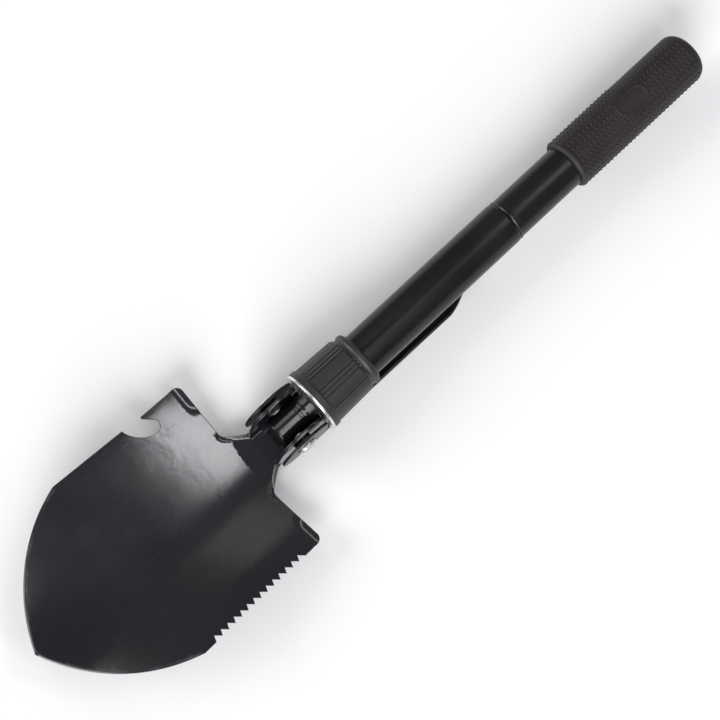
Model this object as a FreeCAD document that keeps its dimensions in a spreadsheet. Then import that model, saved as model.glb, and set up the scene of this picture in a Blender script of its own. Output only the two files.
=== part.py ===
"""Folding camp shovel: pressed blade, folded pick, screw collar, two-section handle and rubber grip.

Every piece is drawn around the hinge rivet: X runs along the handle towards the grip, Y along the
rivet and Z up out of the blade's hollow side.  The placement of each piece then moves the rivet to
its place above the surface that the shovel lies on.
"""
import FreeCAD, Part
import math
import os
import Sketcher

Vector = FreeCAD.Vector
doc = FreeCAD.newDocument("camp_shovel")

# ---------------------------------------------------------------- driving dimensions (millimetres)
DIMENSIONS = {
    # place of the rivet in the part's frame
    "rivet_x": -56.1,
    "rivet_z": 18.6,
    # rivet and the rings on it
    "rivet_rad": 2.6,
    "hinge_slack": 0.06,
    "knuckle_rad": 7.25,
    "nose_x": -7.4,
    "nose_bevel": 0.7,
    "shim_inner": 7.3,
    "shim_outer": 8.35,
    "shim_rad": 4.2,
    "spacer_inner": 10.05,
    "spacer_outer": 11.55,
    "spacer_rad": 4.6,
    "washer_inner": 13.05,
    "washer_outer": 13.85,
    "washer_rad": 5.0,
    "left_head_y": 15.2,
    "left_head_rad": 4.4,
    "right_head_y": 14.9,
    "right_head_rad": 3.8,
    "head_crown": 0.6,
    # hinge ears of the blade and flanges of the pick
    "ear_rad": 14.0,
    "ear_flat": 13.4,
    "ear_inner": 8.4,
    "ear_outer": 10.0,
    "flange_inner": 11.6,
    "flange_outer": 13.0,
    # blade
    "blade_thick": 1.8,
    "blade_fold": 170.0,
    "tip_x": -148.4,
    "widest_x": -95.0,
    "widest_half": 49.6,
    "front_mid_x": -124.5,
    "front_mid_half": 33.7,
    "shoulder_x": -24.8,
    "shoulder_out_x": -23.2,
    "shoulder_half": 48.2,
    "shoulder_round": 3.2,
    "neck_x": -15.3,
    "neck_half": 10.7,
    "neck_root_half": 17.3,
    "floor_x": -16.5,
    "floor_z": -15.0,
    "blade_rise": 27.0,
    "pan_rad": 175.0,
    "channel_floor": -13.4,
    "channel_rear": 12.0,
    "wall_top": -10.6,
    "wall_root_top": -11.7,
    "saw_first_x": -87.3,
    "saw_pitch": 3.9,
    "saw_depth": 2.8,
    "saw_teeth": 13,
    "saw_lean": 0.3,
    "saw_tip_inset": 0.15,
    "pan_reach": 62.0,
    "pan_overrun": 12.0,
    # pick
    "pick_thick": 1.6,
    "pick_bottom": -18.6,
    "pick_shank_top": -12.0,
    "pick_web_x": 20.0,
    "pick_taper_x": 93.0,
    "pick_tip_x": 116.0,
    "pick_flare": 0.3,
    "pick_nose": 1.2,
    "pick_web_rise": 2.4,
    "pick_web_ramp": 3.0,
    "pick_slope_length": 25.0,
    "pick_point_lip": 0.5,
    "pick_point_wall": 3.5,
    # stud, collar and its ring and nut
    "thread_x": 9.0,
    "thread_rad": 8.0,
    "thread_slack": 0.05,
    "thread_lead_in": 1.0,
    "stud_shoulder_x": 36.0,
    "stud_end_x": 62.0,
    "ring_x": 14.2,
    "ring_thick": 1.2,
    "ring_rad": 15.85,
    "shell_front_x": 15.45,
    "shell_rear_x": 45.8,
    "shell_bore": 11.4,
    "shell_rim_rad": 15.8,
    "shell_rib_front_rad": 15.1,
    "shell_rib_rear_rad": 14.3,
    "shell_rear_rad": 13.9,
    "shell_rib_x": 19.0,
    "shell_rib_end_x": 39.5,
    "nut_x": 17.0,
    "nut_end_x": 28.0,
    "pin_x": 42.0,
    "pin_rad": 1.5,
    "pin_half": 10.8,
    # tubes, their screw joint and the grip
    "lower_rad": 11.0,
    "lower_bore": 9.9,
    "joint_x": 138.6,
    "socket_x": 121.0,
    "joint_thread_x": 123.0,
    "joint_thread_rad": 6.0,
    "joint_ring_thick": 1.0,
    "joint_ring_rad": 10.95,
    "upper_rad": 10.6,
    "upper_bore": 9.6,
    "joint_stud_end_x": 155.0,
    "upper_end_x": 251.2,
    "plug_x": 243.2,
    "plug_end_x": 253.2,
    "grip_x": 178.0,
    "grip_end_x": 260.6,
    "grip_rad": 13.1,
    "grip_lip": 2.2,
    "grip_round": 6.0,
}

sheet = doc.addObject("Spreadsheet::Sheet", "Dims")
for row, (alias, number) in enumerate(DIMENSIONS.items(), start=1):
    sheet.set("A%d" % row, alias)
    sheet.set("B%d" % row, str(number))
    sheet.setAlias("B%d" % row, alias)
doc.recompute()


def size(expression):
    """Value of an expression over the sheet's aliases, such as "Dims.ear_rad + 1"."""
    return float(sheet.evalExpression(expression.replace("Dims.", "")))


# ---------------------------------------------------------------- helpers
def place(piece, label):
    """Names a piece and moves it from the rivet's own frame to the part's frame."""
    piece.Label = label
    piece.setExpression(".Placement.Base.x", "Dims.rivet_x")
    piece.setExpression(".Placement.Base.z", "Dims.rivet_z")
    return piece


def new_body(label):
    return place(doc.addObject("PartDesign::Body", label), label)


def plane_sketch(body, plane, name):
    """A sketch on one of the body's own origin planes: XY_Plane, XZ_Plane or YZ_Plane."""
    sketch = body.newObject("Sketcher::SketchObject", name)
    support = [feature for feature in body.Origin.OriginFeatures if feature.Role == plane][0]
    sketch.AttachmentSupport = [(support, "")]
    sketch.MapMode = "FlatFace"
    return sketch


def draw_outline(sketch, corners):
    """Closed outline of straight sides through corners given as pairs of expressions."""
    points = [Vector(size(x), size(y), 0) for x, y in corners]
    count = len(points)
    for index in range(count):
        sketch.addGeometry(Part.LineSegment(points[index], points[(index + 1) % count]), False)
    for index in range(count):
        sketch.addConstraint(Sketcher.Constraint("Coincident", index, 2, (index + 1) % count, 1))
    for index, corner in enumerate(corners):
        for kind, text in zip(("DistanceX", "DistanceY"), corner):
            number = sketch.addConstraint(Sketcher.Constraint(kind, index, 1, size(text)))
            sketch.setExpression("Constraints[%d]" % number, text)


def draw_circle(sketch, x, y, radius):
    centre = Vector(size(x), size(y), 0)
    sketch.addGeometry(Part.Circle(centre, Vector(0, 0, 1), size(radius)), False)
    number = sketch.addConstraint(Sketcher.Constraint("Radius", 0, size(radius)))
    sketch.setExpression("Constraints[%d]" % number, radius)
    for kind, text in (("DistanceX", x), ("DistanceY", y)):
        number = sketch.addConstraint(Sketcher.Constraint(kind, 0, 3, size(text)))
        sketch.setExpression("Constraints[%d]" % number, text)


def turned(label, profile, across=False):
    """A turned piece: profile of (along, radius) about the handle, or about the rivet if across."""
    body = new_body(label)
    if across:
        sketch = plane_sketch(body, "YZ_Plane", label + "_profile")
    else:
        sketch = plane_sketch(body, "XZ_Plane", label + "_profile")
    draw_outline(sketch, profile)
    doc.recompute()
    turn = body.newObject("PartDesign::Revolution", label + "_turned")
    turn.Profile = sketch
    turn.ReferenceAxis = (sketch, ["H_Axis"])
    turn.Angle = 360.0
    sketch.Visibility = False
    doc.recompute()
    return body


def cut_through(body, sketch, name):
    """Cuts a sketch right through the body, to both sides of its plane."""
    before = body.Shape.Volume
    pocket = body.newObject("PartDesign::Pocket", name)
    pocket.Profile = sketch
    pocket.Type = 1
    pocket.Midplane = True
    doc.recompute()
    if body.Shape.Volume > before - 0.01:
        raise RuntimeError(name + " cut nothing")
    return pocket


# ---------------------------------------------------------------- blade
def polygon(points):
    corners = [Vector(*point) for point in points]
    return Part.Face(Part.makePolygon(corners + corners[:1]))


def saw_points():
    """Lower edge of the blade's saw, from the shoulder to the tip: slanted front, steep rear."""
    first = size("Dims.saw_first_x")
    pitch = size("Dims.saw_pitch")
    depth = size("Dims.saw_depth")
    teeth = int(size("Dims.saw_teeth"))
    steep = size("Dims.saw_lean") * pitch
    inset = size("Dims.saw_tip_inset")

    def edge(x):
        span = (x - size("Dims.widest_x")) / (size("Dims.shoulder_out_x") - size("Dims.widest_x"))
        return -(size("Dims.widest_half") + span * (size("Dims.shoulder_half") - size("Dims.widest_half")))

    last_root = first + teeth * pitch
    points = [(last_root + pitch - steep, edge(last_root + pitch - steep))]
    for tooth in range(teeth, -1, -1):
        root = first + tooth * pitch
        points.append((root, edge(root) + depth))
        if tooth:
            points.append((root - steep, edge(root - steep) + inset))
    points.append((first - steep, edge(first - steep)))
    return points


def blade_outline():
    """Plan of the blade and neck, one wire: front curves, opener notch, shoulders and saw edge."""
    tip = (size("Dims.tip_x"), 0.0)
    wide_x = size("Dims.widest_x")
    wide = size("Dims.widest_half")
    mid_x = size("Dims.front_mid_x")
    mid = size("Dims.front_mid_half")
    out_x = size("Dims.shoulder_out_x")
    in_x = size("Dims.shoulder_x")
    half = size("Dims.shoulder_half")
    turn = size("Dims.shoulder_round")
    neck_x = size("Dims.neck_x")
    neck = size("Dims.neck_half")
    root = size("Dims.neck_root_half")
    ear = size("Dims.ear_outer")
    rear_x = neck_x + 3.0
    edges = []

    def line(start, end):
        edges.append(Part.LineSegment(Vector(start[0], start[1], 0), Vector(end[0], end[1], 0)).toShape())

    def arc(start, middle, end):
        spots = [Vector(point[0], point[1], 0) for point in (start, middle, end)]
        edges.append(Part.Arc(*spots).toShape())

    arc(tip, (mid_x, mid), (wide_x, wide))
    # opener notch: a hollow sweeping in from the edge, round its bottom and out under the hook
    notch_in = (-56.1, 48.6)
    notch_side = (-52.6, 42.0)
    notch_low = (-45.8, 38.2)
    notch_bend = (-41.6, 39.6)
    notch_turn = (-41.2, 42.8)
    hook = (-45.6, 48.0)
    line((wide_x, wide), notch_in)
    arc(notch_in, notch_side, notch_low)
    arc(notch_low, notch_bend, notch_turn)
    line(notch_turn, hook)
    line(hook, (out_x - turn, half))
    arc((out_x - turn, half), (out_x - 0.3 * turn, half - 0.3 * turn), (out_x, half - turn))
    line((out_x, half - turn), (in_x, root))
    line((in_x, root), (neck_x, neck))
    line((neck_x, neck), (rear_x, ear))
    line((rear_x, ear), (rear_x, -ear))
    line((rear_x, -ear), (neck_x, -neck))
    line((neck_x, -neck), (in_x, -root))
    line((in_x, -root), (out_x, -half + turn))
    arc((out_x, -half + turn), (out_x - 0.3 * turn, -half + 0.3 * turn), (out_x - turn, -half))
    saw = saw_points()
    line((out_x - turn, -half), saw[0])
    for start, end in zip(saw, saw[1:]):
        line(start, end)
    line(saw[-1], (wide_x, -wide))
    arc((wide_x, -wide), (mid_x, -mid), tip)
    return Part.Wire(edges)


def blade_pan():
    """The dished pan: an arched strip pushed along the rising floor, trimmed to the outline."""
    thick = size("Dims.blade_thick")
    radius = size("Dims.pan_rad")
    floor_x = size("Dims.floor_x")
    floor_z = size("Dims.floor_z")
    run = floor_x - size("Dims.tip_x")
    rise = size("Dims.blade_rise")
    reach = size("Dims.pan_reach")
    overrun = size("Dims.pan_overrun")
    tall = 120.0
    slope = rise / run
    start_x = floor_x + overrun
    start_z = floor_z - overrun * slope
    centre = start_z + radius

    def arch(arch_radius):
        height = centre - math.sqrt(arch_radius ** 2 - reach ** 2)
        low = Vector(start_x, 0, centre - arch_radius)
        return Part.Arc(Vector(start_x, -reach, height), low, Vector(start_x, reach, height)).toShape()

    inner = arch(radius)
    outer = arch(radius + thick)
    sides = [Part.makeLine(inner.Vertexes[end].Point, outer.Vertexes[end].Point) for end in (0, 1)]
    strip = Part.Face(Part.Wire(Part.__sortEdges__([inner, sides[0], outer, sides[1]])))
    length = run + 2 * overrun
    sheet_solid = strip.extrude(Vector(-length, 0, length * slope))
    outline = Part.Face(blade_outline())
    outline.translate(Vector(0, 0, -tall / 2))
    return sheet_solid.common(outline.extrude(Vector(0, 0, tall)))


def ear_profile(front_flat):
    """Side view of a blade ear: a disc about the rivet with locking flats, down to the channel."""
    radius = size("Dims.ear_rad")
    flat = size("Dims.ear_flat")
    half = math.degrees(math.acos(flat / radius))
    fold = size("Dims.blade_fold")
    bottom = size("Dims.channel_floor") - size("Dims.blade_thick")
    wall = size("Dims.wall_top")
    rear = size("Dims.channel_rear")

    def rim(angle):
        return Vector(radius * math.cos(math.radians(angle)), 0, radius * math.sin(math.radians(angle)))

    fold_cos = math.cos(math.radians(180 - fold))
    fold_sin = math.sin(math.radians(180 - fold))
    wall_x = -(front_flat - fold_sin * wall) / fold_cos
    edges = [
        Part.makeLine(rim(-half), rim(half)),
        Part.Arc(rim(half), rim(45), rim(90 - half)).toShape(),
        Part.makeLine(rim(90 - half), rim(90 + half)),
        Part.Arc(rim(90 + half), rim(120), rim(fold - half)).toShape(),
        Part.makeLine(rim(fold - half), Vector(wall_x, 0, wall)),
        Part.makeLine(Vector(wall_x, 0, wall), Vector(wall_x, 0, bottom)),
        Part.makeLine(Vector(wall_x, 0, bottom), Vector(rear, 0, bottom)),
        Part.makeLine(Vector(rear, 0, bottom), rim(-half)),
    ]
    return Part.Face(Part.Wire(edges))


def blade_channel():
    """Channel behind the neck: a floor between two upright ears, and the neck's low side walls."""
    inner = size("Dims.ear_inner")
    outer = size("Dims.ear_outer")
    thick = size("Dims.blade_thick")
    floor_z = size("Dims.channel_floor")
    rear = size("Dims.channel_rear")
    neck_x = size("Dims.neck_x")
    neck = size("Dims.neck_half")
    root_x = size("Dims.shoulder_x")
    root = size("Dims.neck_root_half")
    top = size("Dims.wall_top")
    root_top = size("Dims.wall_root_top")
    low = size("Dims.floor_z") - thick + 0.4
    width = outer - inner
    lap = 1.5
    tall = 40.0
    profile = ear_profile(size("Dims.ear_flat"))
    floor_box = Part.makeBox(rear - neck_x, 2 * inner, thick, Vector(neck_x, -inner, floor_z - thick))
    pieces = [floor_box]
    hole_rad = size("Dims.rivet_rad + Dims.hinge_slack")
    hole = Part.makeCylinder(hole_rad, tall, Vector(0, -tall / 2, 0), Vector(0, 1, 0))
    for side in (-1, 1):
        ear = profile.copy()
        ear.translate(Vector(0, min(side * inner, side * outer), 0))
        pieces.append(ear.extrude(Vector(0, width, 0)).cut(hole))
        strip = polygon([
            (neck_x + lap, side * inner, low),
            (neck_x, side * (neck - width), low),
            (root_x, side * (root - width), low),
            (root_x, side * root, low),
            (neck_x, side * neck, low),
            (neck_x + lap, side * outer, low),
        ])
        wall = strip.extrude(Vector(0, 0, top - low))
        trim = polygon([
            (neck_x + lap, -tall, top),
            (root_x - lap, -tall, root_top),
            (root_x - lap, -tall, tall),
            (neck_x + lap, -tall, tall),
        ]).extrude(Vector(0, 2 * tall, 0))
        pieces.append(wall.cut(trim))
    return pieces


def make_blade():
    solid = blade_pan()
    for piece in blade_channel():
        solid = solid.fuse(piece)
    solid = solid.removeSplitter()
    blade = doc.addObject("Part::Feature", "blade")
    blade.Shape = solid.Solids[0]
    return place(blade, "blade")


# ---------------------------------------------------------------- pick
def pick_side_profile():
    """Side view of the pick: hinge disc with locking flats, then the shank under the collar."""
    radius = size("Dims.ear_rad")
    flat = size("Dims.ear_flat")
    half = math.degrees(math.acos(flat / radius))
    bottom = size("Dims.pick_bottom")
    top = size("Dims.pick_shank_top")
    web_x = size("Dims.pick_web_x")
    taper_x = size("Dims.pick_taper_x")
    end_x = size("Dims.pick_tip_x") + 1.0
    end_top = bottom + size("Dims.pick_thick + Dims.pick_point_lip")
    slope_x = taper_x - size("Dims.pick_slope_length")
    ramp_x = web_x - size("Dims.pick_web_ramp")
    ramp_z = bottom + size("Dims.pick_web_rise")
    underside = 268.0

    def rim(angle):
        return Vector(radius * math.cos(math.radians(angle)), 0, radius * math.sin(math.radians(angle)))

    path = [
        rim(-half), Vector(flat, 0, top), Vector(slope_x, 0, top), Vector(end_x, 0, end_top),
        Vector(end_x, 0, bottom), Vector(web_x, 0, bottom), Vector(ramp_x, 0, ramp_z), rim(underside),
    ]
    edges = [Part.makeLine(start, end) for start, end in zip(path, path[1:])]
    edges.append(Part.Arc(rim(underside), rim(180), rim(90 + half)).toShape())
    edges.append(Part.makeLine(rim(90 + half), rim(90 - half)))
    edges.append(Part.Arc(rim(90 - half), rim(45), rim(half)).toShape())
    edges.append(Part.makeLine(rim(half), rim(-half)))
    return Part.Face(Part.Wire(edges))


def pick_plan(half, tip_x, nose, bottom):
    """Plan of the pick, drawn at a height: slightly flared sides and an ogival point."""
    front = -size("Dims.ear_rad") - 2.0
    flare_x = size("Dims.pick_web_x") + 2.0
    taper_x = size("Dims.pick_taper_x")
    wide = half + size("Dims.pick_flare")
    bulge = Vector(taper_x + 0.6 * (tip_x - taper_x), 0.66 * wide, bottom)
    mirrored = Vector(bulge.x, -bulge.y, bottom)
    corners = [
        Vector(tip_x, nose, bottom), Vector(taper_x, wide, bottom), Vector(flare_x, half, bottom),
        Vector(front, half, bottom), Vector(front, -half, bottom), Vector(flare_x, -half, bottom),
        Vector(taper_x, -wide, bottom), Vector(tip_x, -nose, bottom),
    ]
    edges = [Part.Arc(corners[0], bulge, corners[1]).toShape()]
    edges += [Part.makeLine(start, end) for start, end in zip(corners[1:6], corners[2:7])]
    edges.append(Part.Arc(corners[6], mirrored, corners[7]).toShape())
    edges.append(Part.makeLine(corners[7], corners[0]))
    return Part.Face(Part.Wire(edges))


def make_pick():
    """Pressed channel under the handle: two flanges on the rivet, a web, and a pointed end."""
    inner = size("Dims.flange_inner")
    outer = size("Dims.flange_outer")
    tip_x = size("Dims.pick_tip_x")
    nose = size("Dims.pick_nose")
    bottom = size("Dims.pick_bottom")
    thick = size("Dims.pick_thick")
    web_x = size("Dims.pick_web_x")
    tall = 60.0
    block = pick_plan(outer, tip_x, nose, bottom).extrude(Vector(0, 0, tall))
    side = pick_side_profile()
    side.translate(Vector(0, -tall / 2, 0))
    block = block.common(side.extrude(Vector(0, tall, 0)))
    hollow = pick_plan(inner, tip_x - size("Dims.pick_point_wall"), nose / 2, bottom + thick).extrude(Vector(0, 0, tall))
    mouth = Part.makeBox(web_x + tall, 2 * inner, tall, Vector(-tall, -inner, bottom - 1.0))
    hole_rad = size("Dims.rivet_rad + Dims.hinge_slack")
    hole = Part.makeCylinder(hole_rad, tall, Vector(0, -tall / 2, 0), Vector(0, 1, 0))
    pick = doc.addObject("Part::Feature", "pick")
    pick.Shape = block.cut(hollow).cut(mouth).cut(hole).removeSplitter().Solids[0]
    return place(pick, "pick")


# ---------------------------------------------------------------- rivet and its rings
def make_rivet():
    """Cross rivet: a shank with a domed head on the left and a flatter one on the right."""
    crown = "Dims.head_crown"
    return turned("rivet", [
        ("-Dims.right_head_y", "0"),
        ("-Dims.right_head_y", "Dims.right_head_rad - " + crown),
        ("-Dims.right_head_y + " + crown, "Dims.right_head_rad"),
        ("-Dims.washer_outer", "Dims.right_head_rad"),
        ("-Dims.washer_outer", "Dims.rivet_rad"),
        ("Dims.washer_outer", "Dims.rivet_rad"),
        ("Dims.washer_outer", "Dims.left_head_rad"),
        ("Dims.left_head_y - " + crown, "Dims.left_head_rad"),
        ("Dims.left_head_y", "Dims.left_head_rad - 2 * " + crown),
        ("Dims.left_head_y", "0"),
    ], across=True)


def make_rings():
    """Washers, spacers and shims: plain rings threaded on the rivet, one of each on either side."""
    kinds = (
        ("rivet_washer", "Dims.washer_inner", "Dims.washer_outer", "Dims.washer_rad"),
        ("spacer", "Dims.spacer_inner", "Dims.spacer_outer", "Dims.spacer_rad"),
        ("shim", "Dims.shim_inner", "Dims.shim_outer", "Dims.shim_rad"),
    )
    bore = "Dims.rivet_rad + Dims.hinge_slack"
    rings = []
    for kind, near, far, radius in kinds:
        for side, sign in (("left", ""), ("right", "-")):
            rings.append(turned(kind + "_" + side, [
                (sign + near, bore),
                (sign + far, bore),
                (sign + far, radius),
                (sign + near, radius),
            ], across=True))
    return rings


# ---------------------------------------------------------------- stud, collar and tubes
def make_knuckle():
    """Stud: nose with the rivet's hole, thread for the collar, and a tail in the tube."""
    body = turned("knuckle", [
        ("Dims.nose_x", "0"),
        ("Dims.nose_x", "Dims.knuckle_rad - Dims.nose_bevel"),
        ("Dims.nose_x + Dims.nose_bevel", "Dims.knuckle_rad"),
        ("Dims.thread_x", "Dims.knuckle_rad"),
        ("Dims.thread_x + Dims.thread_lead_in", "Dims.thread_rad"),
        ("Dims.stud_shoulder_x", "Dims.thread_rad"),
        ("Dims.stud_shoulder_x", "Dims.lower_bore"),
        ("Dims.stud_end_x", "Dims.lower_bore"),
        ("Dims.stud_end_x", "0"),
    ])
    hole = plane_sketch(body, "XZ_Plane", "rivet_hole")
    draw_circle(hole, "0", "0", "Dims.rivet_rad + Dims.hinge_slack")
    doc.recompute()
    cut_through(body, hole, "rivet_bore")
    pin = plane_sketch(body, "XZ_Plane", "pin_hole")
    draw_circle(pin, "Dims.pin_x", "0", "Dims.pin_rad")
    doc.recompute()
    cut_through(body, pin, "pin_bore")
    return body


def make_stud_pin():
    pin = doc.addObject("Part::Cylinder", "pin_rod")
    pin.setExpression("Radius", "Dims.pin_rad")
    pin.setExpression("Height", "2 * Dims.pin_half")
    pin.Placement.Rotation = FreeCAD.Rotation(Vector(1, 0, 0), -90)
    place(pin, "stud_pin")
    pin.setExpression(".Placement.Base.x", "Dims.rivet_x + Dims.pin_x")
    pin.setExpression(".Placement.Base.y", "-Dims.pin_half")
    return pin


def make_collar():
    """Collar: plated ring in front, threaded nut inside and the plastic shell around it."""
    ring_back = "Dims.ring_x + Dims.ring_thick"
    ring = turned("collar_ring", [
        ("Dims.ring_x", "Dims.thread_rad + 0.3"),
        ("Dims.ring_x", "Dims.ring_rad - 0.3"),
        ("Dims.ring_x + 0.3", "Dims.ring_rad"),
        (ring_back, "Dims.ring_rad"),
        (ring_back, "Dims.thread_rad + 0.3"),
    ])
    nut = turned("collar_nut", [
        ("Dims.nut_x", "Dims.thread_rad + Dims.thread_slack"),
        ("Dims.nut_end_x", "Dims.thread_rad + Dims.thread_slack"),
        ("Dims.nut_end_x", "Dims.shell_bore"),
        ("Dims.nut_x", "Dims.shell_bore"),
    ])
    shell = turned("collar_shell", [
        ("Dims.shell_front_x", "Dims.shell_bore - 1"),
        ("Dims.shell_front_x", "Dims.shell_rim_rad"),
        ("Dims.shell_rib_x - 1.4", "Dims.shell_rim_rad - 0.2"),
        ("Dims.shell_rib_x", "Dims.shell_rib_front_rad"),
        ("Dims.shell_rib_end_x", "Dims.shell_rib_rear_rad"),
        ("Dims.shell_rib_end_x + 1", "Dims.shell_rear_rad"),
        ("Dims.shell_rear_x - 2", "Dims.shell_rear_rad"),
        ("Dims.shell_rear_x - 0.5", "Dims.shell_rear_rad - 0.7"),
        ("Dims.shell_rear_x", "Dims.shell_rear_rad - 1.8"),
        ("Dims.shell_rear_x", "Dims.shell_bore"),
        ("Dims.nut_x", "Dims.shell_bore"),
        ("Dims.nut_x", "Dims.shell_bore - 1"),
    ])
    return [ring, nut, shell]


def tube(label, front, rear, radius, bore, bevel="0.5"):
    """Round tube about the handle's axis with bevelled outer ends."""
    return turned(label, [
        (front, bore),
        (front, "%s - %s" % (radius, bevel)),
        ("%s + %s" % (front, bevel), radius),
        ("%s - %s" % (rear, bevel), radius),
        (rear, "%s - %s" % (radius, bevel)),
        (rear, bore),
    ])


def make_tubes():
    """Front and rear handle tubes with the screw joint between them."""
    lower = tube("lower_tube", "Dims.stud_shoulder_x", "Dims.joint_x", "Dims.lower_rad", "Dims.lower_bore")
    pin = plane_sketch(lower, "XZ_Plane", "tube_pin_hole")
    draw_circle(pin, "Dims.pin_x", "0", "Dims.pin_rad")
    doc.recompute()
    cut_through(lower, pin, "tube_pin_bore")
    upper_x = "Dims.joint_x + Dims.joint_ring_thick"
    upper = tube("upper_tube", upper_x, "Dims.upper_end_x", "Dims.upper_rad", "Dims.upper_bore", "0.3")
    socket = turned("joint_socket", [
        ("Dims.socket_x", "Dims.joint_thread_rad + Dims.thread_slack"),
        ("Dims.joint_x - 0.4", "Dims.joint_thread_rad + Dims.thread_slack"),
        ("Dims.joint_x - 0.4", "Dims.lower_bore"),
        ("Dims.socket_x", "Dims.lower_bore"),
    ])
    ring = turned("joint_washer", [
        ("Dims.joint_x", "Dims.joint_thread_rad + 0.3"),
        ("Dims.joint_x", "Dims.joint_ring_rad - 0.3"),
        ("Dims.joint_x + 0.3", "Dims.joint_ring_rad"),
        (upper_x, "Dims.joint_ring_rad"),
        (upper_x, "Dims.joint_thread_rad + 0.3"),
    ])
    stud = turned("joint_stud", [
        ("Dims.joint_thread_x", "0"),
        ("Dims.joint_thread_x", "Dims.joint_thread_rad - Dims.thread_lead_in"),
        ("Dims.joint_thread_x + Dims.thread_lead_in", "Dims.joint_thread_rad"),
        (upper_x, "Dims.joint_thread_rad"),
        (upper_x, "Dims.upper_bore"),
        ("Dims.joint_stud_end_x", "Dims.upper_bore"),
        ("Dims.joint_stud_end_x", "0"),
    ])
    plug = turned("end_plug", [
        ("Dims.plug_x", "0"),
        ("Dims.plug_x", "Dims.upper_bore"),
        ("Dims.upper_end_x", "Dims.upper_bore"),
        ("Dims.upper_end_x", "Dims.upper_rad"),
        ("Dims.plug_end_x", "Dims.upper_rad"),
        ("Dims.plug_end_x", "0"),
    ])
    return [lower, upper, socket, ring, stud, plug]


def make_grip():
    """Rubber sleeve over the rear tube, closed by a rounded end."""
    dome = []
    for angle in (0, 18, 36, 54, 72, 90):
        along = "Dims.grip_end_x - Dims.grip_round * (1 - sin(%d deg))" % angle
        radius = "Dims.grip_rad - Dims.grip_round * (1 - cos(%d deg))" % angle
        dome.append((along, radius))
    return turned("grip", [
        ("Dims.grip_x", "Dims.upper_rad"),
        ("Dims.grip_x + Dims.grip_lip", "Dims.grip_rad"),
        *dome,
        ("Dims.grip_end_x", "0"),
        ("Dims.plug_end_x", "0"),
        ("Dims.plug_end_x", "Dims.upper_rad"),
    ])


# ---------------------------------------------------------------- build, check and write
def faults(piece):
    """Reasons why a piece can't be written; an empty list when it is sound."""
    found = [state for state in piece.State if state in ("Invalid", "Error")]
    if piece.Shape.isNull():
        found.append("null shape")
    elif not piece.Shape.isValid():
        found.append("invalid shape")
    return found


def main():
    pieces = [make_blade(), make_pick(), make_rivet()]
    pieces += make_rings()
    pieces += [make_knuckle(), make_stud_pin()]
    pieces += make_collar()
    pieces += make_tubes()
    pieces.append(make_grip())
    doc.recompute()
    for item in doc.Objects:
        if "Invalid" in item.State or "Error" in item.State:
            raise RuntimeError(item.Label + " failed to recompute")
    os.makedirs("parts", exist_ok=True)
    whole = FreeCAD.BoundBox()
    for piece in pieces:
        problems = faults(piece)
        if problems:
            raise RuntimeError(piece.Label + ": " + ", ".join(problems))
        whole.add(piece.Shape.BoundBox)
        piece.Shape.exportStep("parts/" + piece.Label + ".step")
        print("%-20s %10.1f mm3  solids %d" % (piece.Label, piece.Shape.Volume, len(piece.Shape.Solids)))
    print("whole: x %.2f %.2f  y %.2f %.2f  z %.2f %.2f" % (
        whole.XMin, whole.XMax, whole.YMin, whole.YMax, whole.ZMin, whole.ZMax))


main()
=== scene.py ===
"""Looks of the folding camp shovel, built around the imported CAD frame.

Shapes are worked out in millimetres about the hinge rivet (X along the handle, Y along the rivet,
Z up) and moved to the row frame in metres by mm().
"""

import math

import bmesh
import bpy
from mathutils import Matrix, Vector
from mathutils.geometry import delaunay_2d_cdt


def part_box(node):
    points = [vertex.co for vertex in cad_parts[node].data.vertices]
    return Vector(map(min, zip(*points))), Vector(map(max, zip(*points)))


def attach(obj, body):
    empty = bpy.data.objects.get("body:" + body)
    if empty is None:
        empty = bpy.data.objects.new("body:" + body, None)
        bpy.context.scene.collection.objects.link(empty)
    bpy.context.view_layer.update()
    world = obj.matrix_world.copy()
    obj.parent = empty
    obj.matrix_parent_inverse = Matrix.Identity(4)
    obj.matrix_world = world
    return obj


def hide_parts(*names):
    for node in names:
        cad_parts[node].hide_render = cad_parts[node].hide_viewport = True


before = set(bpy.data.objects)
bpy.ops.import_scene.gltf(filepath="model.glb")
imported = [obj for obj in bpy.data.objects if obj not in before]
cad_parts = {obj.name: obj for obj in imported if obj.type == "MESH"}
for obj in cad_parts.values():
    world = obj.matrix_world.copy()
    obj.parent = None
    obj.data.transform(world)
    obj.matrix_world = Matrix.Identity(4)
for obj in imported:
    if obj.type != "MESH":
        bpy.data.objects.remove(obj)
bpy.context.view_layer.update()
bpy.context.scene.view_settings.view_transform = "Standard"

# ---------------- frame helpers
rivet_low, rivet_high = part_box("rivet")
HINGE_X = (rivet_low.x + rivet_high.x) / 2
HINGE_Z = (rivet_low.z + rivet_high.z) / 2


def mm(x, y, z):
    """Point about the rivet in millimetres to the row frame in metres."""
    return (HINGE_X + x / 1000, y / 1000, HINGE_Z + z / 1000)


def span_x(node):
    """A CAD node's first and last x about the rivet, in millimetres."""
    low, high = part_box(node)
    return (low.x - HINGE_X) * 1000, (high.x - HINGE_X) * 1000


def widest(node):
    """A CAD node's half width across the handle, in millimetres."""
    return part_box(node)[1].y * 1000


def lerp(a, b, t):
    return a + (b - a) * t


def ease(low, high, value):
    """0 below low, 1 above high, smooth in between; low may be the larger."""
    t = max(0.0, min(1.0, (value - low) / (high - low)))
    return t * t * (3 - 2 * t)


def new_object(name, data):
    """Makes an object and links it to the scene."""
    thing = bpy.data.objects.new(name, data)
    bpy.context.scene.collection.objects.link(thing)
    return thing


# an exact normal is used on the faces whose own normal has at least this cosine with it
FACING_NEAR = 0.88


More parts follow.
